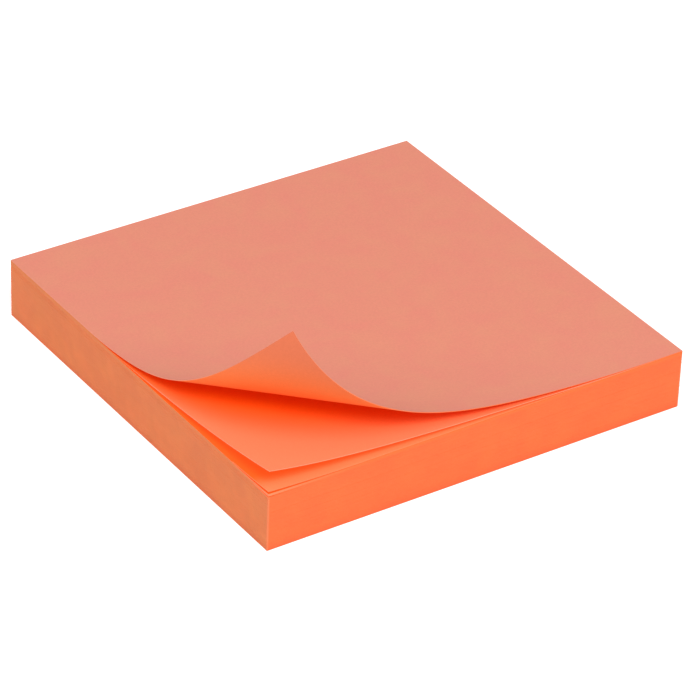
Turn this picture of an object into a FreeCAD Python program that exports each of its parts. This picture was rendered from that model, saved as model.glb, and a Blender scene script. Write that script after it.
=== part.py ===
import FreeCAD, Part
import math
import os

# A pad of square sticky notes, lying flat with its back glued along the +Y
# side. Most notes are still one block. At the free corner (-X, -Y) the last
# ones on top have come away: the top note curls right up and over, the second
# stands a little off, the third has only just come loose, and the four below
# it still hold to each other but have parted from the block by a hair.
# Origin: middle of the pad's underside. +X runs along the free front side,
# +Y towards the glued side, +Z up.

Vector = FreeCAD.Vector

# Sizes in millimetres, angles in degrees

note_side = 76.0
sheet_thickness = 0.103
sheet_count = 100
stuck_sheet_count = 4

# How far a sheet's cut sides wander from the pad's true sides, and the turn of
# phase from one sheet to the next along each side
cut_wander = 0.035
wander_angle_x = 137.5
wander_angle_y = 94.0

# Where the top note leaves the pad: the lengths of its left and front edges
# that stay down, measured from the corners next to the free one
top_left_held = 24.4
top_front_held = 3.0

# The second note lets go this much nearer to the free corner
second_note_setback = 3.6

# The third note and the four stuck ones are loose only near the corner, over
# these lengths of their left and front edges
third_left_free = 12.0
third_front_free = 18.0
stuck_left_free = 8.0
stuck_front_free = 14.0

# The lifted corner is bent along lines that fan out from one point, this far
# beyond the left edge on the line where the note leaves the pad
top_fan_reach = 64.5
second_fan_reach = 75.0
third_fan_reach = 40.0
stuck_fan_reach = 30.0

# The small angle at which a note peels off the one below, how far it has
# turned at its corner, and how the turning gathers towards the corner: 1 is an
# even bend, 2 one that tightens steadily
top_peel_angle = 4.2
top_turn_angle = 114.4
top_gather_ratio = 2.5
second_peel_angle = 2.8
second_turn_angle = 14.1
second_gather_ratio = 2.8
third_peel_angle = 0.2
third_turn_angle = 5.2
third_gather_ratio = 1.0
stuck_peel_angle = 0.05
stuck_turn_angle = 2.5
stuck_gather_ratio = 1.0

# The corner's point is worn off this far along the left edge
corner_wear = 0.2

# Bend lines that each lifted corner is lofted through, and how many of them the
# peel is eased in over
bend_line_count = 28
peel_line_count = 6

half_side = note_side / 2
loose_sheet_count = 3
sheets_in_block = sheet_count - stuck_sheet_count - loose_sheet_count
top_left_free = note_side - top_left_held
top_front_free = note_side - top_front_held
sheets_under_third = sheets_in_block + stuck_sheet_count
sheets_under_second = sheets_under_third + 1
sheets_under_top = sheets_under_second + 1


def make_pad_block():
    """The glued sheets, with the fine steps that their cut edges make."""
    sheets = []
    for number in range(sheets_in_block):
        shift_x = cut_wander * math.sin(math.radians(number * wander_angle_x))
        shift_y = cut_wander * math.cos(math.radians(number * wander_angle_y))
        low_corner = Vector(shift_x - half_side, shift_y - half_side, number * sheet_thickness)
        sheets.append(Part.makeBox(note_side, note_side, sheet_thickness, low_corner))
    return sheets[0].multiFuse(sheets[1:])


def make_section(fan_point, line, normal, near, far, thickness):
    """The cut along one bend line, from the left edge to the front edge."""
    low_left = fan_point + line * near
    low_front = fan_point + line * far
    rise = normal * thickness
    return Part.makePolygon([low_left, low_front, low_front + rise, low_left + rise, low_left])


def make_lifted_sheets(sheets_below, sheets, left_free, front_free, fan_reach, peel, turn, gather):
    """One note, or some that hold together: a flat part, and a bent corner.

    The bend keeps every length on the sheet, as paper does: the corner is a
    cone whose straight lines all pass through the fan point.
    """
    floor = sheets_below * sheet_thickness
    thickness = sheets * sheet_thickness
    free_corner = Vector(-half_side, -half_side, floor)
    left_point = free_corner + Vector(0, left_free, 0)
    front_point = free_corner + Vector(front_free, 0, 0)

    outline = [
        left_point,
        Vector(-half_side, half_side, floor),
        Vector(half_side, half_side, floor),
        Vector(half_side, -half_side, floor),
        front_point,
        left_point,
    ]
    flat_part = Part.Face(Part.makePolygon(outline)).extrude(Vector(0, 0, thickness))

    first_line = (front_point - left_point).normalize()
    fan_point = left_point - first_line * fan_reach
    fan_from_corner = fan_point - free_corner
    first_angle = math.atan2(first_line.y, first_line.x)
    last_angle = math.atan2(corner_wear - fan_from_corner.y, -fan_from_corner.x)
    swing = (last_angle - first_angle) / bend_line_count

    line = first_line
    normal = Vector(0, 0, 1)
    first_length = (front_point - left_point).Length
    sections = [make_section(fan_point, line, normal, fan_reach, fan_reach + first_length, thickness)]
    turned_before = 0
    for step in range(1, bend_line_count + 1):
        peeled = peel * math.sin(math.pi / 2 * min(step / peel_line_count, 1))
        turned = peeled + (turn - peel) * (step / bend_line_count) ** gather
        half_bend = (turned - turned_before) / 2
        turned_before = turned
        normal = FreeCAD.Rotation(line, -half_bend).multVec(normal)
        line = FreeCAD.Rotation(normal, math.degrees(swing)).multVec(line)
        normal = FreeCAD.Rotation(line, -half_bend).multVec(normal)
        angle = first_angle + swing * step
        near = -fan_from_corner.x / math.cos(angle)
        far = -fan_from_corner.y / math.sin(angle)
        sections.append(make_section(fan_point, line, normal, near, far, thickness))
    bent_corner = Part.makeLoft(sections, True, False)
    return flat_part.fuse(bent_corner)


def make_stuck_notes():
    return make_lifted_sheets(sheets_in_block, stuck_sheet_count, stuck_left_free, stuck_front_free,
                              stuck_fan_reach, stuck_peel_angle, stuck_turn_angle, stuck_gather_ratio)


def make_third_note():
    return make_lifted_sheets(sheets_under_third, 1, third_left_free, third_front_free,
                              third_fan_reach, third_peel_angle, third_turn_angle, third_gather_ratio)


def make_second_note():
    return make_lifted_sheets(sheets_under_second, 1, top_left_free - second_note_setback,
                              top_front_free - second_note_setback, second_fan_reach,
                              second_peel_angle, second_turn_angle, second_gather_ratio)


def make_top_note():
    return make_lifted_sheets(sheets_under_top, 1, top_left_free, top_front_free, top_fan_reach,
                              top_peel_angle, top_turn_angle, top_gather_ratio)


pieces = {
    "pad_block": make_pad_block(),
    "stuck_notes": make_stuck_notes(),
    "third_note": make_third_note(),
    "second_note": make_second_note(),
    "top_note": make_top_note(),
}

os.makedirs("parts", exist_ok=True)
for name, shape in pieces.items():
    solid = shape.Solids[0]
    solid.exportStep(os.path.join("parts", name + ".step"))
    box = solid.BoundBox
    print(name, "solids", len(shape.Solids), "valid", solid.isValid(), "volume", round(solid.Volume, 2),
          "x", round(box.XMin, 2), round(box.XMax, 2), "y", round(box.YMin, 2), round(box.YMax, 2),
          "z", round(box.ZMin, 2), round(box.ZMax, 2))
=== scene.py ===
# %% [markdown]
# # A pad of sticky notes, dressed in Blender
#
# The pad's solids come ready made, at their real size, and this script gives
# them their looks. It loads them as a fixed frame, makes a finer mesh for each
# solid in the same place, and finishes each surface with paper worked out by
# nodes. All lengths are in metres. The pad lies on the plane Z = 0, its front
# side towards -Y, its glued side towards +Y, and the corner that curls up is
# the one towards -X and -Y.

# %% Load the frame
import math

import bpy
from mathutils import Matrix, Vector


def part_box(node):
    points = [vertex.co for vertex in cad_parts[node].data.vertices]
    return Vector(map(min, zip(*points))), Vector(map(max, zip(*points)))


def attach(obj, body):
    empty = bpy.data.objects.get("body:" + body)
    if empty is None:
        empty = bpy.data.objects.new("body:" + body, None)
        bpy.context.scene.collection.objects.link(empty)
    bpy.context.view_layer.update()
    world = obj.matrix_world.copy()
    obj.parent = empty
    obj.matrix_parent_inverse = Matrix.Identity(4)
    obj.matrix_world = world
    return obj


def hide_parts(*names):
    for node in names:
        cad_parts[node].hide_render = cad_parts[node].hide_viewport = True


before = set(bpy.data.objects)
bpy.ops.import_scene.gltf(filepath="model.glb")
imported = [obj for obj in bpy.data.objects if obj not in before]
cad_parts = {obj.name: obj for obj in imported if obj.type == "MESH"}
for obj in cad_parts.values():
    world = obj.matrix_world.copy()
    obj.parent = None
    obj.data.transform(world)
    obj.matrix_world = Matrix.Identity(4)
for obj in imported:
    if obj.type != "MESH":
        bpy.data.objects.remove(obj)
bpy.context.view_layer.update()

# %% [markdown]
# ## Sizes
#
# The frame already holds most sizes. The third note's box gives the side of a
# note, and the block's height shared between its sheets gives the thickness of
# one. Reading them there keeps the looks and the solids in step.

# %% Sizes read from the frame
MM = 0.001
SHEETS_IN_BLOCK = 93

block_low, block_high = (Vector(corner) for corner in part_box("pad_block"))
note_low, note_high = (Vector(corner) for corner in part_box("third_note"))
note_side = note_high.x - note_low.x
half_side = note_side / 2
sheet_thickness = (block_high.z - block_low.z) / SHEETS_IN_BLOCK
print("note side", round(note_side / MM, 2), "mm, sheet", round(sheet_thickness / MM, 4), "mm")

# %% [markdown]
# ## The camera
#
# The picture was taken from the front left, a third of the way up, with a long
# lens, so the pad's sides hardly draw together. A camera is a point and a set
# of three directions: where it looks, what is up and what is right. They are
# built here from the two angles of the view and a small roll, all in degrees,
# and the camera stands back along the line of sight.

# %% Camera
VIEW_AZIMUTH = -34.72
VIEW_ELEVATION = 32.48
VIEW_ROLL = 2.23
VIEW_DISTANCE = 645.81 * MM
VIEW_SIDEWAYS = 1.53 * MM
VIEW_UPWARDS = 1.59 * MM
LENS = 210.2
SENSOR = 36.0


def make_camera():
    azimuth = math.radians(VIEW_AZIMUTH)
    elevation = math.radians(VIEW_ELEVATION)
    roll = math.radians(VIEW_ROLL)
    back = Vector((math.sin(azimuth) * math.cos(elevation),
                   -math.cos(azimuth) * math.cos(elevation),
                   math.sin(elevation)))
    level_right = (-back).cross(Vector((0, 0, 1))).normalized()
    level_up = level_right.cross(-back)
    right = math.cos(roll) * level_right + math.sin(roll) * level_up
    up = -math.sin(roll) * level_right + math.cos(roll) * level_up
    place = back * VIEW_DISTANCE + right * VIEW_SIDEWAYS + up * VIEW_UPWARDS

    data = bpy.data.cameras.new("camera")
    data.lens = LENS
    data.sensor_width = SENSOR
    data.clip_start = 10 * MM
    camera = bpy.data.objects.new("camera", data)
    turn = Matrix((right, up, back)).transposed().to_4x4()
    camera.matrix_world = Matrix.Translation(place) @ turn
    bpy.context.scene.collection.objects.link(camera)
    bpy.context.scene.camera = camera
    return camera


camera = make_camera()
print("camera at", [round(c, 3) for c in camera.matrix_world.translation])

# %% [markdown]
# ## Small helpers for node trees
#
# Materials and Geometry Nodes are both trees of nodes. Writing a tree in code
# is clearer with short helpers: one adds a node and fills its inputs, one makes
# a math node, and one a vector math node. An input may be a number or the
# output of another node, and the helper sets the one or links the other.

# %% Helpers for node trees
def fill(tree, socket, value):
    if isinstance(value, bpy.types.NodeSocket):
        tree.links.new(value, socket)
    elif value is not None:
        socket.default_value = value


def add_node(tree, kind, inputs=None, **settings):
    node = tree.nodes.new(kind)
    for name, value in settings.items():
        setattr(node, name, value)
    for name, value in (inputs or {}).items():
        fill(tree, node.inputs[name], value)
    return node


def maths(tree, operation, *values):
    node = add_node(tree, "ShaderNodeMath", operation=operation)
    for place, value in enumerate(values):
        fill(tree, node.inputs[place], value)
    return node.outputs[0]


def vector_length(tree, vector):
    node = add_node(tree, "ShaderNodeVectorMath", operation="LENGTH")
    fill(tree, node.inputs[0], vector)
    return node.outputs["Value"]


def vector_of(tree, x, y, z):
    return add_node(tree, "ShaderNodeCombineXYZ", {"X": x, "Y": y, "Z": z}).outputs[0]


def split(tree, vector):
    return add_node(tree, "ShaderNodeSeparateXYZ", {"Vector": vector}).outputs


# %% [markdown]
# ## Helpers for colours, noise and groups
#
# A ramp eases a number from one value to another. A noise has values that lie
# mostly between two limits, so a ramp between those gives its full range. What
# more than one material needs is a shader group: a small tree with inputs that
# have names, which gives back masks and numbers.

# %% Helpers for shader nodes
NOISE_LOW = 0.3
NOISE_HIGH = 0.7


def mix_colours(tree, share, first, second, blend="MIX"):
    # A Mix node has its colour sockets after those for numbers and vectors
    node = add_node(tree, "ShaderNodeMix", data_type="RGBA", blend_type=blend)
    for place, value in ((0, share), (6, first), (7, second)):
        fill(tree, node.inputs[place], value)
    return node.outputs[2]


def ramp(tree, value, low, high, to_low=0.0, to_high=1.0):
    """Eases from one number to another as the value goes from low to high."""
    return add_node(tree, "ShaderNodeMapRange", {
        "Value": value, "From Min": low, "From Max": high, "To Min": to_low, "To Max": to_high},
        interpolation_type="SMOOTHSTEP").outputs[0]


def shade_by(tree, base, shade):
    grey = add_node(tree, "ShaderNodeCombineColor", {
        "Red": shade, "Green": shade, "Blue": shade}).outputs[0]
    return mix_colours(tree, 1.0, base, grey, "MULTIPLY")


def noise(tree, place, scale, detail, roughness=0.5, distortion=0.0):
    return add_node(tree, "ShaderNodeTexNoise", {
        "Vector": place, "Scale": scale, "Detail": detail, "Roughness": roughness,
        "Distortion": distortion}).outputs["Fac"]


def start_group(name, takes, gives):
    group = bpy.data.node_groups.new(name, "ShaderNodeTree")
    for label, kind in takes.items():
        group.interface.new_socket(label, in_out="INPUT", socket_type="NodeSocket" + kind)
    for label in gives:
        group.interface.new_socket(label, in_out="OUTPUT", socket_type="NodeSocketFloat")
    return group, group.nodes.new("NodeGroupInput").outputs


def end_group(group, results):
    output = group.nodes.new("NodeGroupOutput")
    for label, value in results.items():
        group.links.new(value, output.inputs[label])


def use_group(tree, group, inputs):
    return add_node(tree, "ShaderNodeGroup", inputs, node_tree=group).outputs


# %% [markdown]
# ## Running a Geometry Nodes tree
#
# A tree's sizes are inputs with names, and a modifier knows each by the
# socket's identifier. The tree is run on an empty object, and the result is
# then turned into a plain mesh, so nothing is left to work out later. Two more
# helpers serve both trees below: one sets out a point for each sheet and lays
# a sheet on each, and one gives faces their paper.

# %% Start a tree, and turn its result into a mesh
def start_tree(name, sizes):
    tree = bpy.data.node_groups.new(name, "GeometryNodeTree")
    tree.interface.new_socket("Geometry", in_out="OUTPUT", socket_type="NodeSocketGeometry")
    for label, kind in sizes.items():
        tree.interface.new_socket(label, in_out="INPUT", socket_type="NodeSocket" + kind)
    inputs = tree.nodes.new("NodeGroupInput").outputs
    return tree, inputs


def run_tree(name, tree, values):
    piece = bpy.data.objects.new(name, bpy.data.meshes.new(name))
    bpy.context.scene.collection.objects.link(piece)
    modifier = piece.modifiers.new(name, "NODES")
    modifier.node_group = tree
    for item in tree.interface.items_tree:
        if item.in_out == "INPUT":
            modifier[item.identifier] = values[item.name]
    bpy.context.view_layer.update()
    depsgraph = bpy.context.evaluated_depsgraph_get()
    mesh = bpy.data.meshes.new_from_object(piece.evaluated_get(depsgraph), depsgraph=depsgraph)
    piece.modifiers.remove(modifier)
    piece.data = mesh
    mesh.name = name
    print(name, "has", len(mesh.polygons), "faces")
    return piece


def pile_up(tree, inputs, sheet, lowest, shift=None):
    """Lays a copy of the sheet for each one in the pile, and makes them all one mesh."""
    points = add_node(tree, "GeometryNodeMeshLine", {
        "Count": inputs["Sheets"], "Start Location": vector_of(tree, 0.0, 0.0, lowest),
        "Offset": vector_of(tree, 0.0, 0.0, inputs["Thickness"])}).outputs[0]
    points = add_node(tree, "GeometryNodeSetPosition", {"Geometry": points, "Offset": shift}).outputs[0]
    copies = add_node(tree, "GeometryNodeInstanceOnPoints", {
        "Points": points, "Instance": sheet}).outputs[0]
    return add_node(tree, "GeometryNodeRealizeInstances", {"Geometry": copies}).outputs[0]


def put_on(tree, geometry, paper, faces=None):
    """Gives a paper to the chosen faces, or to all of them."""
    return add_node(tree, "GeometryNodeSetMaterial", {
        "Geometry": geometry, "Selection": faces, "Material": paper}).outputs[0]


# %% [markdown]
# ## Paper, as one shader group
#
# Note paper is dyed in the pulp. Close up it has a fine grain, and from a step
# away the dye gathers in soft patches that are a little redder or yellower.
# Both are noise, at two sizes, so one group makes them for every paper here:
# it gives a mask for the patches, a mask for the grain, and a height for bump.

# %% The paper group
FIBRE_SCALE = 0.35
GRAIN_SHARE = 0.6


def make_paper_group():
    group, inputs = start_group("paper_grain", {
        "Place": "Vector", "Patch Scale": "Float", "Grain Scale": "Float"},
        ("Patches", "Grain", "Height"))
    place = inputs["Place"]
    patches = noise(group, place, inputs["Patch Scale"], detail=3.0, roughness=0.55, distortion=0.4)
    grain = noise(group, place, inputs["Grain Scale"], detail=4.0, roughness=0.7)
    fibre_scale = maths(group, "MULTIPLY", inputs["Grain Scale"], FIBRE_SCALE)
    fibres = noise(group, place, fibre_scale, detail=2.0, roughness=0.6, distortion=2.5)
    clear_patches = add_node(group, "ShaderNodeMapRange", {
        "Value": patches, "From Min": NOISE_LOW, "From Max": NOISE_HIGH}).outputs["Result"]
    height = maths(group, "ADD", maths(group, "MULTIPLY", grain, GRAIN_SHARE),
                   maths(group, "MULTIPLY", fibres, 1.0 - GRAIN_SHARE))
    end_group(group, {"Patches": clear_patches, "Grain": grain, "Height": height})
    return group


paper_group = make_paper_group()
print("shader group", paper_group.name)

# %% [markdown]
# ## Where a spot lies on its note
#
# Each loose note carries a map of itself, which gives two shares of its side:
# how far a spot is across from the left edge, and how far along from the front
# edge. A second group makes three measures of them. "Corner" adds up square
# roots, so it stays small along both free edges and grows quickly inwards.
# "Front" is nearly the distance from the front edge. "Bend" is the plain sum,
# and follows the lines that the corner is bent along.
#
# A third group gives a mask for the thin painted highlight along a note's edges.
# On the left the highlight runs only part of the way, and then fades out.

# %% The sheet group and the edge highlight group
SHEET_MAP = "sheet"
FRONT_WEIGHT = 0.70
LEFT_WEIGHT = 1.25
FRONT_SLANT = 0.04
EDGE_HIGHLIGHT_WIDTH = 0.14 * MM
EDGE_HIGHLIGHT_FADE = 0.05


def make_sheet_group():
    group, inputs = start_group("place_on_sheet", {
        "Map": "Vector", "Front Weight": "Float", "Left Weight": "Float", "Front Slant": "Float"},
        ("Across", "Along", "Corner", "Front", "Bend"))
    across, along, _ = split(group, inputs["Map"])
    front_root = maths(group, "SQRT", maths(group, "MULTIPLY", across, inputs["Front Weight"]))
    left_root = maths(group, "SQRT", maths(group, "MULTIPLY", along, inputs["Left Weight"]))
    slant = maths(group, "MULTIPLY", across, inputs["Front Slant"])
    end_group(group, {
        "Across": across, "Along": along, "Corner": maths(group, "ADD", front_root, left_root),
        "Front": maths(group, "ADD", along, slant), "Bend": maths(group, "ADD", across, along)})
    return group


# The mask for the painted highlight along a note's edges.
def make_edge_highlight_group():
    group, inputs = start_group("note_edge_highlight", {
        "Across": "Float", "Along": "Float", "Side": "Float", "Width": "Float",
        "Left Border": "Float", "Fade": "Float"}, ("Mask",))
    across, along = inputs["Across"], inputs["Along"]
    fade_end = maths(group, "ADD", inputs["Left Border"], inputs["Fade"])
    from_left = maths(group, "ADD", across, ramp(group, along, inputs["Left Border"], fade_end))
    sideways = maths(group, "MINIMUM", from_left, maths(group, "SUBTRACT", 1.0, across))
    lengthways = maths(group, "MINIMUM", along, maths(group, "SUBTRACT", 1.0, along))
    nearest = maths(group, "MULTIPLY", maths(group, "MINIMUM", sideways, lengthways), inputs["Side"])
    end_group(group, {"Mask": ramp(group, nearest, inputs["Width"], 0.0)})
    return group


sheet_group = make_sheet_group()
edge_highlight_group = make_edge_highlight_group()
print("shader groups", sheet_group.name, "and", edge_highlight_group.name)

# %% [markdown]
# ## The papers
#
# Each paper is a Principled surface, rough and with little gloss. Its colour
# runs between two close tones by the patches, and the grain makes it a shade
# lighter or darker. Most papers also glow a little. Part of that is the neon
# dye's own glow in daylight, and part is painted light: the glow is set
# strongest on the faces in the gaps between the notes, so that the gaps stay a
# strong red orange and don't turn grey.
#
# Some tones are painted light and shade. The top note's upper face is salmon
# all over, partly its own faded tone and partly a painted sheen. The notes under
# it are painted paler where light gets in below the curl, and deeper where the
# notes above shade them: the second one around its corner, the third along its
# front edge. The curl's underside is painted darker towards its tip, as painted
# shade, and thin painted highlights run along the notes' edges. How pale a spot
# is depends on its place on the flat note, however the note is bent, so it is
# read from the sheet's own map and not from the room.

# %% Tones of the paper, with painted light and shade
# The top note's upper face: partly its own faded tone, partly a painted sheen.
FADED_AND_SHEEN = (0.775, 0.270, 0.172, 1.0)
FADED_AND_SHEEN_PATCH = (0.785, 0.246, 0.172, 1.0)
# A painted highlight along the top note's rim on the left.
TOP_RIM_HIGHLIGHT = (0.87, 0.290, 0.165, 1.0)
# The second note: painted shade where the curl shades it, painted light towards its corner.
SECOND_SHADED = (0.88, 0.135, 0.0006, 1.0)
SECOND_SHADED_PATCH = (0.88, 0.125, 0.0006, 1.0)
SECOND_LIT = (0.92, 0.285, 0.130, 1.0)
# Painted highlights along the notes' edges, where they catch the light.
EDGE_HIGHLIGHT = (0.92, 0.30, 0.16, 1.0)
# The third note: painted shade under the second note's edge, painted light along its front edge.
THIRD_SHADED = (0.88, 0.080, 0.002, 1.0)
THIRD_SHADED_PATCH = (0.88, 0.074, 0.002, 1.0)
THIRD_LIT = (0.92, 0.235, 0.112, 1.0)
CURL = (0.84, 0.202, 0.044, 1.0)
CURL_PATCH = (0.84, 0.192, 0.041, 1.0)
# Painted shade, darker towards the tip of the curl's underside.
CURL_TIP_SHADE = (0.57, 0.142, 0.061, 1.0)
# A faint painted highlight on the top note's rim near the corner.
CURL_EDGE_HIGHLIGHT = (0.85, 0.21, 0.085, 1.0)
# Painted shade: the deep red of the faces inside the gaps.
GAP_SHADE = (0.86, 0.09, 0.002, 1.0)
# Painted shade: the third note's rim near the corner drawn as the dark line of the shaded gap below it.
SEAM_SHADE = (0.90, 0.13, 0.03, 1.0)
# A painted highlight on the stuck notes' rim near the corner.
STUCK_EDGE_HIGHLIGHT = (0.92, 0.235, 0.09, 1.0)
CUT = (0.93, 0.145, 0.021, 1.0)
CUT_PATCH = (0.93, 0.131, 0.019, 1.0)
# The left side: painted shade with a painted sheen.
LEFT_SHADE_AND_SHEEN = (0.73, 0.200, 0.050, 1.0)
LEFT_SHADE_AND_SHEEN_PATCH = (0.725, 0.185, 0.050, 1.0)
# Glows: partly the neon dye's own glow, partly painted light that lifts the shaded gaps and strips.
RED_GLOW = (1.0, 0.03, 0.0, 1.0)
ORANGE_GLOW = (1.0, 0.10, 0.01, 1.0)
WARM_GLOW = (1.0, 0.23, 0.03, 1.0)

# %% The note papers
PATCHES_PER_METRE = 190.0
GRAINS_PER_METRE = 2600.0
GRAIN_DEPTH = 0.012 * MM
BUMP_STRENGTH = 0.35
PAPER_ROUGHNESS = 0.65
GRAIN_SHADES = (0.965, 1.02)
RIM_SHADES = (0.97, 1.02)
LEFT_RIM = 0.002


def start_paper(name):
    material = bpy.data.materials.new(name)
    material.use_nodes = True
    tree = material.node_tree
    tree.nodes.clear()
    place = add_node(tree, "ShaderNodeTexCoord").outputs["Object"]
    paper = use_group(tree, paper_group, {
        "Place": place, "Patch Scale": PATCHES_PER_METRE, "Grain Scale": GRAINS_PER_METRE})
    return material, tree, paper


def finish_paper(tree, base, height, roughness, gloss, glow_colour, glow):
    bump = add_node(tree, "ShaderNodeBump", {
        "Height": height, "Strength": BUMP_STRENGTH, "Distance": GRAIN_DEPTH})
    surface = add_node(tree, "ShaderNodeBsdfPrincipled", {
        "Base Color": base, "Roughness": roughness, "Normal": bump.outputs[0],
        "Specular IOR Level": gloss, "Emission Color": glow_colour, "Emission Strength": glow})
    tree.links.new(surface.outputs[0], tree.nodes.new("ShaderNodeOutputMaterial").inputs["Surface"])


def place_on_sheet(tree):
    sheet_map = add_node(tree, "ShaderNodeUVMap", uv_map=SHEET_MAP).outputs[0]
    return use_group(tree, sheet_group, {
        "Map": sheet_map, "Front Weight": FRONT_WEIGHT, "Left Weight": LEFT_WEIGHT,
        "Front Slant": FRONT_SLANT})


def make_note_paper(name, tone, patch_tone, gloss, glow_colour, glow, painted_light_tone=None,
                    painted_light_by="Corner", painted_light_span=None, highlight_tone=None, left_highlight=1.0):
    """A note's paper. It turns to a second tone as a measure falls through a span; that tone is painted
    light on the second and third notes and painted shade at the curl's tip.

    A painted highlight runs along its edges, but on the left only part of the way, a share of the side.
    """
    material, tree, paper = start_paper(name)
    sheet = place_on_sheet(tree)
    base = mix_colours(tree, paper["Patches"], tone, patch_tone)
    if painted_light_tone:
        # The second tone: painted light on the second and third notes, painted shade at the curl's tip.
        base = mix_colours(tree, ramp(tree, sheet[painted_light_by], *painted_light_span), base, painted_light_tone)
    if highlight_tone:
        # A painted highlight along the edges.
        border = use_group(tree, edge_highlight_group, {
            "Across": sheet["Across"], "Along": sheet["Along"], "Side": note_side,
            "Width": EDGE_HIGHLIGHT_WIDTH, "Left Border": left_highlight, "Fade": EDGE_HIGHLIGHT_FADE})
        base = mix_colours(tree, border["Mask"], base, highlight_tone)
    base = shade_by(tree, base, ramp(tree, paper["Grain"], NOISE_LOW, NOISE_HIGH, *GRAIN_SHADES))
    finish_paper(tree, base, paper["Height"], PAPER_ROUGHNESS, gloss, glow_colour, glow)
    return material


def make_rim_paper(name, near_tone, near_span, gloss, glow, left_tone=LEFT_SHADE_AND_SHEEN):
    """A note's thin cut edge. Near the free corner it takes the near tone, a painted highlight except on
    the third note, where it is painted shade; further off it is like the pad's sides, and on the left it
    takes the left tone, which is their painted shade and sheen unless a painted highlight is given.
    """
    material, tree, paper = start_paper(name)
    sheet = place_on_sheet(tree)
    base = mix_colours(tree, maths(tree, "LESS_THAN", sheet["Across"], LEFT_RIM), CUT, left_tone)
    base = mix_colours(tree, ramp(tree, sheet["Corner"], *near_span), base, near_tone)
    base = shade_by(tree, base, ramp(tree, paper["Patches"], 0.0, 1.0, *RIM_SHADES))
    finish_paper(tree, base, paper["Height"], PAPER_ROUGHNESS, gloss, ORANGE_GLOW, glow)
    return material


# The top face's salmon is partly its own faded tone and partly a painted sheen.
faded_and_sheen_paper = make_note_paper("faded_and_sheen_paper", FADED_AND_SHEEN, FADED_AND_SHEEN_PATCH, 0.3, RED_GLOW, 0.0)
# The curl's underside is painted darker towards its tip, as painted shade.
underside_paper = make_note_paper("underside_paper", CURL, CURL_PATCH, 0.4, ORANGE_GLOW, 0.14,
                                  painted_light_tone=CURL_TIP_SHADE, painted_light_by="Bend", painted_light_span=(0.27, 0.04))
# The second note: painted shade under the curl, painted light near its corner, a painted highlight along
# its edges.
second_paper = make_note_paper("second_paper", SECOND_SHADED, SECOND_SHADED_PATCH, 0.3, RED_GLOW, 0.09,
                               painted_light_tone=SECOND_LIT, painted_light_by="Corner", painted_light_span=(0.91, 0.61),
                               highlight_tone=EDGE_HIGHLIGHT, left_highlight=0.45)
# The third note: painted shade under the second note, painted light along its front edge, a painted
# highlight along its edges.
third_paper = make_note_paper("third_paper", THIRD_SHADED, THIRD_SHADED_PATCH, 0.4, WARM_GLOW, 0.30,
                              painted_light_tone=THIRD_LIT, painted_light_by="Front", painted_light_span=(0.07, 0.01),
                              highlight_tone=EDGE_HIGHLIGHT, left_highlight=0.13)
# The gaps: a deep red painted shade tone, lifted by a strong glow that is painted light.
gap_shade_paper = make_note_paper("gap_shade_paper", GAP_SHADE, GAP_SHADE, 0.3, ORANGE_GLOW, 0.5)
# The rims: painted highlights near the corner, painted shade on the third note's; on the left, painted
# shade and sheen, and a painted highlight on the top note.
top_rim_paper = make_rim_paper("top_rim_paper", CURL_EDGE_HIGHLIGHT, (0.7, 0.3), 0.4, 0.0, TOP_RIM_HIGHLIGHT)
second_rim_paper = make_rim_paper("second_rim_paper", EDGE_HIGHLIGHT, (0.86, 0.72), 0.4, 0.05)
third_rim_paper = make_rim_paper("third_rim_paper", SEAM_SHADE, (0.45, 0.33), 0.3, 0.05)
stuck_rim_paper = make_rim_paper("stuck_rim_paper", STUCK_EDGE_HIGHLIGHT, (0.42, 0.05), 0.6, 0.05)
print("papers so far:", [material.name for material in bpy.data.materials])

# %% [markdown]
# ## Paper seen from its cut side
#
# The pad's sides are the cut edges of a hundred sheets. They take the colour
# of the dye more deeply than the faces do, since the light falls in between
# the sheets. The left side is painted a darker, duller orange, which is
# painted shade with a painted sheen. The knife leaves rounder blotches where
# it pressed, and soft streaks along the sheets, which are noise stretched that
# way; they show most near the top, where the sheets are looser. The upright
# corners carry a thin painted highlight, and the foot of each side is painted
# slightly darker, as painted shade where the pad meets the table.

# %% The cut side's paper
# A painted highlight along the upright corners.
CORNER_HIGHLIGHT_WIDTH = 0.35 * MM
CORNER = (0.90, 0.21, 0.07, 1.0)
# Painted shade at the foot of each side, where the pad meets the table.
FOOT_SHADE_HEIGHT = 1.6 * MM
FOOT_SHADE = (0.94, 0.82, 0.78, 1.0)
LEFT_SIDE_SHARE = 0.998
STREAKS_PER_METRE = (60.0, 60.0, 1400.0)
LOOSE_FROM = 7.5 * MM
LOOSE_UNTIL = 9.5 * MM
STREAK_STRENGTHS = (0.02, 0.09)
BLOTCHES_PER_METRE = 300.0
BLOTCH_SHADES = (0.965, 1.03)
CUT_ROUGHNESS = 0.75
CUT_GLOSS = 0.85
CUT_GLOW = 0.05


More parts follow.
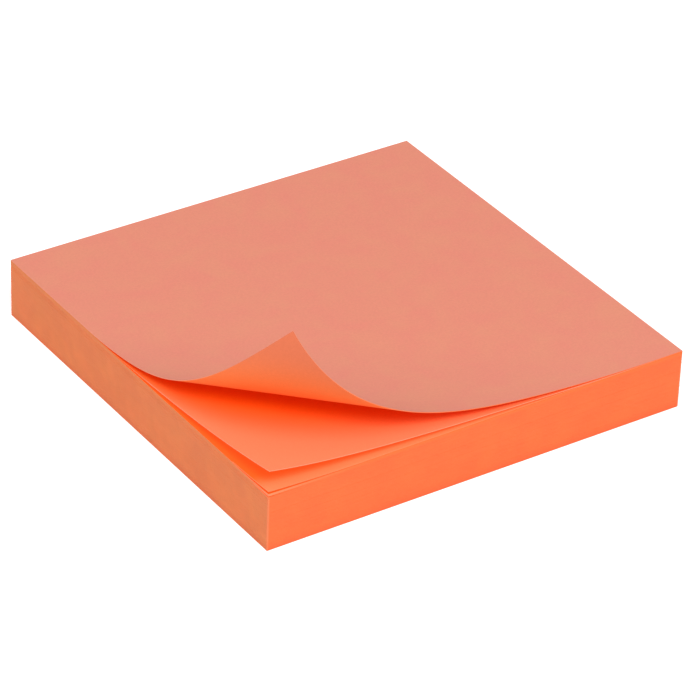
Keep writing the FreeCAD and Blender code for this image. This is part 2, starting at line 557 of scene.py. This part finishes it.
def tone_cut_side(tree, paper, x, y, z):
    """The cut sides' tone: painted shade and sheen on the left, a painted highlight at the upright
    corners, painted shade at the foot.
    """
    bright = mix_colours(tree, paper["Patches"], CUT, CUT_PATCH)
    # The left side's tone is painted shade with a painted sheen.
    shaded_left = mix_colours(tree, paper["Patches"], LEFT_SHADE_AND_SHEEN, LEFT_SHADE_AND_SHEEN_PATCH)
    base = mix_colours(tree, maths(tree, "LESS_THAN", x, -LEFT_SIDE_SHARE * half_side), bright, shaded_left)
    from_x_side = maths(tree, "SUBTRACT", half_side, maths(tree, "ABSOLUTE", x))
    from_y_side = maths(tree, "SUBTRACT", half_side, maths(tree, "ABSOLUTE", y))
    from_corner = vector_length(tree, vector_of(tree, from_x_side, from_y_side, 0.0))
    # A painted highlight along the upright corners.
    base = mix_colours(tree, ramp(tree, from_corner, CORNER_HIGHLIGHT_WIDTH, 0.0), base, CORNER)
    # Painted shade at the foot of each side.
    return mix_colours(tree, ramp(tree, z, FOOT_SHADE_HEIGHT, 0.0), base, FOOT_SHADE, "MULTIPLY")


def streak_shade(tree, place, z):
    """Lighter and darker streaks along the sheets, around a shade of 1."""
    stretched = add_node(tree, "ShaderNodeMapping", {
        "Vector": place, "Scale": STREAKS_PER_METRE}).outputs[0]
    from_middle = maths(tree, "SUBTRACT", noise(tree, stretched, 1.0, detail=2.0), 0.5)
    strength = ramp(tree, z, LOOSE_FROM, LOOSE_UNTIL, *STREAK_STRENGTHS)
    return maths(tree, "ADD", 1.0, maths(tree, "MULTIPLY", from_middle, strength))


def make_cut_paper():
    material, tree, paper = start_paper("cut_paper")
    place = add_node(tree, "ShaderNodeTexCoord").outputs["Object"]
    x, y, z = split(tree, place)
    base = tone_cut_side(tree, paper, x, y, z)
    base = shade_by(tree, base, streak_shade(tree, place, z))
    blotches = noise(tree, place, BLOTCHES_PER_METRE, detail=2.0)
    base = shade_by(tree, base, ramp(tree, blotches, NOISE_LOW, NOISE_HIGH, *BLOTCH_SHADES))
    finish_paper(tree, base, paper["Height"], CUT_ROUGHNESS, CUT_GLOSS, ORANGE_GLOW, CUT_GLOW)
    return material


cut_paper = make_cut_paper()
print("paper:", cut_paper.name)

# %% [markdown]
# ## The stack of glued sheets
#
# Ninety-three sheets still hold together. Each is the same thin slab, laid a
# sheet's thickness above the last and shifted by a hair, because the knife
# never cuts two sheets quite alike. That is a job for Geometry Nodes: a line
# of points, one slab on each, and a random shift with a fixed seed. A regular
# shift would be simpler, but beside the picture's own rows of pixels a regular
# pattern so fine shows false stripes. The slab's rims are drawn in by a
# hundredth of a millimetre, top and bottom, so that a fine groove runs between
# each pair of sheets.

# %% The stack's tree
CUT_WANDER = 0.018 * MM
WANDER_SEED = 7
RIM_CRUSH = 0.010 * MM
NEAR_FACE = 0.9
FACING_UP = 0.9


def make_slab(tree, inputs, half_thickness):
    """One sheet, its rims drawn in at both faces."""
    slab = add_node(tree, "GeometryNodeMeshCube", {
        "Size": vector_of(tree, inputs["Side"], inputs["Side"], inputs["Thickness"]),
        "Vertices X": 2, "Vertices Y": 2, "Vertices Z": 4}).outputs["Mesh"]
    x, y, z = split(tree, add_node(tree, "GeometryNodeInputPosition").outputs[0])
    share_up = maths(tree, "DIVIDE", maths(tree, "ABSOLUTE", z), half_thickness)
    on_face = maths(tree, "GREATER_THAN", share_up, NEAR_FACE)
    drawn_in = maths(tree, "MULTIPLY", maths(tree, "MULTIPLY", inputs["Crush"], on_face), 2.0)
    kept = maths(tree, "SUBTRACT", 1.0, maths(tree, "DIVIDE", drawn_in, inputs["Side"]))
    rim_height = maths(tree, "SUBTRACT", half_thickness, inputs["Crush"])
    ring_height = maths(tree, "MULTIPLY", maths(tree, "SIGN", z), rim_height)
    height = add_node(tree, "GeometryNodeSwitch", {
        "Switch": on_face, "False": ring_height, "True": z}, input_type="FLOAT").outputs[0]
    shaped = vector_of(tree, maths(tree, "MULTIPLY", x, kept), maths(tree, "MULTIPLY", y, kept), height)
    return add_node(tree, "GeometryNodeSetPosition", {"Geometry": slab, "Position": shaped}).outputs[0]


def make_stack_tree():
    tree, inputs = start_tree("glued_sheets", {
        "Side": "Float", "Thickness": "Float", "Sheets": "Int", "Wander": "Float", "Seed": "Int",
        "Crush": "Float", "Cut Paper": "Material", "Face Paper": "Material"})
    half_thickness = maths(tree, "MULTIPLY", inputs["Thickness"], 0.5)
    back = maths(tree, "MULTIPLY", inputs["Wander"], -1.0)
    shift = add_node(tree, "FunctionNodeRandomValue", {
        "Min": vector_of(tree, back, back, 0.0),
        "Max": vector_of(tree, inputs["Wander"], inputs["Wander"], 0.0),
        "ID": add_node(tree, "GeometryNodeInputIndex").outputs[0], "Seed": inputs["Seed"]},
        data_type="FLOAT_VECTOR").outputs[0]
    slab = make_slab(tree, inputs, half_thickness)
    whole = pile_up(tree, inputs, slab, half_thickness, shift)
    whole = put_on(tree, whole, inputs["Cut Paper"])

    facing = split(tree, add_node(tree, "GeometryNodeInputNormal").outputs[0])["Z"]
    height = split(tree, add_node(tree, "GeometryNodeInputPosition").outputs[0])["Z"]
    sheets_below = maths(tree, "SUBTRACT", inputs["Sheets"], 0.5)
    in_last_sheet = maths(tree, "MULTIPLY", inputs["Thickness"], sheets_below)
    on_top = maths(tree, "MULTIPLY", maths(tree, "GREATER_THAN", facing, FACING_UP),
                   maths(tree, "GREATER_THAN", height, in_last_sheet))
    whole = put_on(tree, whole, inputs["Face Paper"], on_top)
    tree.links.new(whole, tree.nodes.new("NodeGroupOutput").inputs[0])
    return tree


stack = run_tree("glued_sheets", make_stack_tree(), {
    "Side": note_side, "Thickness": sheet_thickness, "Sheets": SHEETS_IN_BLOCK, "Wander": CUT_WANDER,
    "Seed": WANDER_SEED, "Crush": RIM_CRUSH, "Cut Paper": cut_paper, "Face Paper": gap_shade_paper})
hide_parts("pad_block")
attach(stack, "root")

# %% [markdown]
# ## Sheets with a bent corner
#
# Paper bends but doesn't stretch. So a lifted corner is never a free shape: it
# turns about straight lines, and on this pad those lines fan out from one point
# beside the left edge. The tree starts from a flat sheet, or from a few that
# still hold together, and folds it a little along each line, starting with the
# line nearest the corner and working back to the pad. In that order each line
# still lies flat when its turn comes, and a Repeat zone does the same small
# fold over a hundred times. The folds are so small that the result is one
# smooth bend, and all lengths on the sheet are kept.
#
# How much is turned by each line follows one rule with two parts. The note
# peels off at a small angle over the first few lines, and then it turns ever
# faster towards the corner. The tree also writes the sheet's own map, while
# the note is still flat, and remembers which way each face looked then, so
# that the upper face, the underside and the rim each get a paper of their own.

# %% The flat sheet and its fan of bend lines
SHARP_ANGLE = 0.5
FACE_LIMIT = 0.5


def store(tree, geometry, name, value, data_type, domain):
    """Writes a value on the mesh under a name."""
    return add_node(tree, "GeometryNodeStoreNamedAttribute", {
        "Geometry": geometry, "Name": name, "Value": value},
        data_type=data_type, domain=domain).outputs[0]


def stored(tree, name):
    return add_node(tree, "GeometryNodeInputNamedAttribute", {"Name": name}, data_type="FLOAT").outputs[0]


def make_flat_sheet(tree, inputs, corner):
    """A flat sheet in fine cells, with its own map and the way that each face looks."""
    cuts = maths(tree, "ADD", inputs["Cells"], 1.0)
    flat = add_node(tree, "GeometryNodeMeshCube", {
        "Size": vector_of(tree, inputs["Side"], inputs["Side"], inputs["Thickness"]),
        "Vertices X": cuts, "Vertices Y": cuts, "Vertices Z": 2}).outputs["Mesh"]
    edge_angle = add_node(tree, "GeometryNodeInputMeshEdgeAngle").outputs[0]
    flat = add_node(tree, "GeometryNodeSetShadeSmooth", {
        "Geometry": flat, "Selection": maths(tree, "GREATER_THAN", edge_angle, SHARP_ANGLE),
        "Shade Smooth": False}, domain="EDGE").outputs[0]
    facing = split(tree, add_node(tree, "GeometryNodeInputNormal").outputs[0])["Z"]
    flat = store(tree, flat, "facing", facing, "FLOAT", "FACE")
    x, y, _ = split(tree, add_node(tree, "GeometryNodeInputPosition").outputs[0])
    across = maths(tree, "DIVIDE", maths(tree, "SUBTRACT", x, corner), inputs["Side"])
    along = maths(tree, "DIVIDE", maths(tree, "SUBTRACT", y, corner), inputs["Side"])
    return store(tree, flat, SHEET_MAP, vector_of(tree, across, along, 0.0), "FLOAT2", "CORNER")


def find_fan(tree, inputs, corner):
    """The point where the bend lines meet, the first line's angle, and the swing to the last."""
    left_free, front_free = inputs["Left Free"], inputs["Front Free"]
    first_length = maths(tree, "SQRT", maths(tree, "ADD", maths(tree, "POWER", left_free, 2.0),
                                             maths(tree, "POWER", front_free, 2.0)))
    reach_share = maths(tree, "DIVIDE", inputs["Fan Reach"], first_length)
    fan_x = maths(tree, "SUBTRACT", corner, maths(tree, "MULTIPLY", front_free, reach_share))
    rise_share = maths(tree, "ADD", reach_share, 1.0)
    fan_y = maths(tree, "ADD", corner, maths(tree, "MULTIPLY", left_free, rise_share))
    first_angle = maths(tree, "ARCTAN2", maths(tree, "MULTIPLY", left_free, -1.0), front_free)
    last_rise = maths(tree, "SUBTRACT", maths(tree, "ADD", corner, inputs["Corner Wear"]), fan_y)
    last_angle = maths(tree, "ARCTAN2", last_rise, maths(tree, "SUBTRACT", corner, fan_x))
    return fan_x, fan_y, first_angle, maths(tree, "SUBTRACT", last_angle, first_angle)


def store_place_in_fan(tree, flat, fan):
    """Writes how far each point lies from the first bend line towards the last, as a share."""
    fan_x, fan_y, first_angle, swing = fan
    x, y, _ = split(tree, add_node(tree, "GeometryNodeInputPosition").outputs[0])
    angle = maths(tree, "ARCTAN2", maths(tree, "SUBTRACT", y, fan_y), maths(tree, "SUBTRACT", x, fan_x))
    share = maths(tree, "DIVIDE", maths(tree, "SUBTRACT", angle, first_angle), swing)
    return store(tree, flat, "along_bend", share, "FLOAT", "POINT")


# %% The bent note's tree
def turned_by(tree, share, inputs):
    """The angle that the note has turned through at this share of the way to its corner."""
    peel_share = maths(tree, "MINIMUM", maths(tree, "DIVIDE", share, inputs["Peel Share"]), 1.0)
    eased = maths(tree, "SINE", maths(tree, "MULTIPLY", peel_share, math.pi / 2))
    peeled = maths(tree, "MULTIPLY", inputs["Peel"], eased)
    gathered = maths(tree, "MULTIPLY", maths(tree, "SUBTRACT", inputs["Turn"], inputs["Peel"]),
                     maths(tree, "POWER", share, inputs["Gather"]))
    return maths(tree, "ADD", peeled, gathered)


def fold_line_by_line(tree, inputs, flat, fan):
    fan_x, fan_y, first_angle, swing = fan
    begin = tree.nodes.new("GeometryNodeRepeatInput")
    end = tree.nodes.new("GeometryNodeRepeatOutput")
    begin.pair_with_output(end)
    lines = inputs["Bend Lines"]
    fill(tree, begin.inputs["Iterations"], lines)
    fill(tree, begin.inputs["Geometry"], flat)

    line = maths(tree, "SUBTRACT", lines, begin.outputs["Iteration"])
    line_before = maths(tree, "SUBTRACT", line, 1.0)
    turned = turned_by(tree, maths(tree, "DIVIDE", line, lines), inputs)
    turned_before = turned_by(tree, maths(tree, "DIVIDE", line_before, lines), inputs)
    fold = maths(tree, "SUBTRACT", turned, turned_before)
    place_in_fan = maths(tree, "MULTIPLY", stored(tree, "along_bend"), lines)
    past_line = maths(tree, "SUBTRACT", place_in_fan, line_before)
    share = add_node(tree, "ShaderNodeClamp", {"Value": past_line}).outputs[0]

    line_share = maths(tree, "DIVIDE", maths(tree, "SUBTRACT", line, 0.5), lines)
    line_angle = maths(tree, "ADD", first_angle, maths(tree, "MULTIPLY", swing, line_share))
    bent = add_node(tree, "ShaderNodeVectorRotate", {
        "Vector": add_node(tree, "GeometryNodeInputPosition").outputs[0],
        "Center": vector_of(tree, fan_x, fan_y, inputs["Floor"]),
        "Axis": vector_of(tree, maths(tree, "COSINE", line_angle), maths(tree, "SINE", line_angle), 0.0),
        "Angle": maths(tree, "MULTIPLY", maths(tree, "MULTIPLY", fold, share), -1.0)},
        rotation_type="AXIS_ANGLE").outputs[0]
    folded = add_node(tree, "GeometryNodeSetPosition", {
        "Geometry": begin.outputs["Geometry"], "Position": bent}).outputs[0]
    tree.links.new(folded, end.inputs["Geometry"])
    return end.outputs["Geometry"]


def make_note_tree():
    tree, inputs = start_tree("bent_note", {
        "Side": "Float", "Thickness": "Float", "Floor": "Float", "Sheets": "Int",
        "Left Free": "Float", "Front Free": "Float", "Fan Reach": "Float", "Corner Wear": "Float",
        "Peel": "Float", "Peel Share": "Float", "Turn": "Float", "Gather": "Float",
        "Bend Lines": "Int", "Cells": "Int",
        "Upper Paper": "Material", "Under Paper": "Material", "Rim Paper": "Material"})
    corner = maths(tree, "MULTIPLY", inputs["Side"], -0.5)
    fan = find_fan(tree, inputs, corner)
    flat = make_flat_sheet(tree, inputs, corner)
    flat = store_place_in_fan(tree, flat, fan)
    lowest = maths(tree, "ADD", inputs["Floor"], maths(tree, "MULTIPLY", inputs["Thickness"], 0.5))
    flat = pile_up(tree, inputs, flat, lowest)
    whole = fold_line_by_line(tree, inputs, flat, fan)

    whole = add_node(tree, "GeometryNodeRealizeInstances", {"Geometry": whole}).outputs[0]
    facing = stored(tree, "facing")
    whole = put_on(tree, whole, inputs["Rim Paper"])
    whole = put_on(tree, whole, inputs["Upper Paper"], maths(tree, "GREATER_THAN", facing, FACE_LIMIT))
    whole = put_on(tree, whole, inputs["Under Paper"], maths(tree, "LESS_THAN", facing, -FACE_LIMIT))
    tree.links.new(whole, tree.nodes.new("NodeGroupOutput").inputs[0])
    return tree


note_tree = make_note_tree()
print("tree", note_tree.name, "has", len(note_tree.nodes), "nodes")

# %% [markdown]
# ## The notes that have come away
#
# The four notes above the block still hold to each other, and have only parted
# from it by a hair. Above them the third note has just come loose, the second
# stands a few millimetres off, and the top one turns right up and over. Each
# lets go of the pad a little nearer the corner than the one above it, so no
# note pokes through another. The table gives, in millimetres and degrees, how
# much of a note's left and front edges stays down and how it bends.

# %% Make the loose notes
CORNER_WEAR = 0.2 * MM
SOLID_BEND_LINES = 28
SOLID_PEEL_LINES = 6
BEND_LINES = 4 * SOLID_BEND_LINES
PEEL_SHARE = SOLID_PEEL_LINES / SOLID_BEND_LINES

BENDS = {
    "stuck_notes": {"sheets": 4, "left_held": 68.0, "front_held": 62.0, "fan_reach": 30.0,
                    "peel": 0.05, "turn": 2.5, "gather": 1.0, "cells": 76, "slot": "block_paper",
                    "upper": gap_shade_paper, "under": gap_shade_paper, "rim": stuck_rim_paper},
    "third_note": {"sheets": 1, "left_held": 64.0, "front_held": 58.0, "fan_reach": 40.0,
                   "peel": 0.2, "turn": 5.2, "gather": 1.0, "cells": 114, "slot": "note_paper",
                   "upper": third_paper, "under": gap_shade_paper, "rim": third_rim_paper},
    "second_note": {"sheets": 1, "left_held": 28.0, "front_held": 6.6, "fan_reach": 75.0,
                    "peel": 2.8, "turn": 14.1, "gather": 2.8, "cells": 128, "slot": "note_paper",
                    "upper": second_paper, "under": second_paper, "rim": second_rim_paper},
    "top_note": {"sheets": 1, "left_held": 24.4, "front_held": 3.0, "fan_reach": 64.5,
                 "peel": 4.2, "turn": 114.4, "gather": 2.5, "cells": 128, "slot": "top_paper",
                 "upper": faded_and_sheen_paper, "under": underside_paper, "rim": top_rim_paper},
}


def make_lifted_sheets(node, bend, sheets_below):
    piece = run_tree(node + "_paper", note_tree, {
        "Side": note_side, "Thickness": sheet_thickness, "Floor": sheets_below * sheet_thickness,
        "Sheets": bend["sheets"], "Left Free": note_side - bend["left_held"] * MM,
        "Front Free": note_side - bend["front_held"] * MM, "Fan Reach": bend["fan_reach"] * MM,
        "Corner Wear": CORNER_WEAR, "Peel": math.radians(bend["peel"]), "Peel Share": PEEL_SHARE,
        "Turn": math.radians(bend["turn"]), "Gather": bend["gather"], "Bend Lines": BEND_LINES,
        "Cells": bend["cells"], "Upper Paper": bend["upper"], "Under Paper": bend["under"],
        "Rim Paper": bend["rim"]})
    for name in ("facing", "along_bend"):
        piece.data.attributes.remove(piece.data.attributes[name])
    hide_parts(node)
    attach(piece, "root")
    return piece


sheets_below = SHEETS_IN_BLOCK
for node, bend in BENDS.items():
    piece = make_lifted_sheets(node, bend, sheets_below)
    sheets_below += bend["sheets"]
print("sheets in all:", sheets_below)

# %% [markdown]
# ## The floor
#
# The pad lies on a plain white table that runs out of the picture. Seen by the
# camera the table glows a little, so it comes out white as in a catalogue
# picture, and the pad's soft shadow still shows on it from the other side.

# %% Floor
FLOOR_SIZE = 6.0
FLOOR_DROP = 0.01 * MM
FLOOR_TONE = (0.90, 0.90, 0.90, 1.0)
FLOOR_PATCH = (0.92, 0.92, 0.92, 1.0)
FLOOR_PATCHES_PER_METRE = 40.0
FLOOR_ROUGHNESS = 0.9
FLOOR_GLOSS = 0.1
FLOOR_GLOW = 0.4
WHITE = (1.0, 1.0, 1.0, 1.0)


def make_table_material():
    material = bpy.data.materials.new("white_table")
    material.use_nodes = True
    tree = material.node_tree
    tree.nodes.clear()
    camera_ray = add_node(tree, "ShaderNodeLightPath").outputs["Is Camera Ray"]
    place = add_node(tree, "ShaderNodeTexCoord").outputs["Object"]
    mottle = noise(tree, place, FLOOR_PATCHES_PER_METRE, detail=2.0)
    surface = add_node(tree, "ShaderNodeBsdfPrincipled", {
        "Base Color": mix_colours(tree, mottle, FLOOR_TONE, FLOOR_PATCH),
        "Roughness": FLOOR_ROUGHNESS, "Specular IOR Level": FLOOR_GLOSS, "Emission Color": WHITE,
        "Emission Strength": maths(tree, "MULTIPLY", camera_ray, FLOOR_GLOW)})
    tree.links.new(surface.outputs[0], tree.nodes.new("ShaderNodeOutputMaterial").inputs["Surface"])
    return material


def make_floor():
    mesh = bpy.data.meshes.new("table")
    reach = FLOOR_SIZE / 2
    corners = [(-reach, -reach, -FLOOR_DROP), (reach, -reach, -FLOOR_DROP),
               (reach, reach, -FLOOR_DROP), (-reach, reach, -FLOOR_DROP)]
    mesh.from_pydata(corners, [], [(0, 1, 2, 3)])
    mesh.materials.append(make_table_material())
    floor = bpy.data.objects.new("table", mesh)
    bpy.context.scene.collection.objects.link(floor)
    return floor


floor = make_floor()
print("floor:", floor.name, "of", FLOOR_SIZE, "m")

# %% [markdown]
# ## Light
#
# A white room lights the pad evenly from all round. One large soft lamp stands
# higher than the camera and a little to its right, so nearly all of the shadow
# falls out of sight behind the pad. What is left of it is the deep band under
# the curl, which shows how far the top note stands off. The room is plain white
# to the camera and in reflections, and only its light on the pad is turned down.

# %% World and lamp
WORLD_STRENGTH = 0.62
SEEN_STRENGTH = 1.0
KEY_POWER = 8.5
KEY_SIZE = 0.40
KEY_DISTANCE = 1.2
KEY_AZIMUTH = math.radians(-26.0)
KEY_ELEVATION = math.radians(47.0)


def make_world():
    world = bpy.data.worlds.new("white_room")
    world.use_nodes = True
    tree = world.node_tree
    tree.nodes.clear()
    path = add_node(tree, "ShaderNodeLightPath").outputs
    mirrored = maths(tree, "MAXIMUM", path["Is Glossy Ray"], path["Is Transmission Ray"])
    seen = maths(tree, "MAXIMUM", path["Is Camera Ray"], mirrored)
    strength = add_node(tree, "ShaderNodeMix", data_type="FLOAT")
    for place, value in ((0, seen), (2, WORLD_STRENGTH), (3, SEEN_STRENGTH)):
        fill(tree, strength.inputs[place], value)
    background = add_node(tree, "ShaderNodeBackground", {
        "Color": WHITE, "Strength": strength.outputs[0]})
    tree.links.new(background.outputs[0], tree.nodes.new("ShaderNodeOutputWorld").inputs["Surface"])
    bpy.context.scene.world = world


def make_lamp():
    direction = Vector((math.sin(KEY_AZIMUTH) * math.cos(KEY_ELEVATION),
                        -math.cos(KEY_AZIMUTH) * math.cos(KEY_ELEVATION),
                        math.sin(KEY_ELEVATION)))
    data = bpy.data.lights.new("key_lamp", "AREA")
    data.shape = "DISK"
    data.size = KEY_SIZE
    data.energy = KEY_POWER
    lamp = bpy.data.objects.new("key_lamp", data)
    lamp.location = direction * KEY_DISTANCE
    lamp.rotation_euler = (-direction).to_track_quat("-Z", "Y").to_euler()
    bpy.context.scene.collection.objects.link(lamp)
    return lamp


make_world()
lamp = make_lamp()
print("lamp at", [round(c, 2) for c in lamp.location])

# %% [markdown]
# ## Finish
#
# The view transform is set to Standard, so that a colour comes out as it is
# written.

# %% Finish
bpy.context.scene.view_settings.view_transform = "Standard"
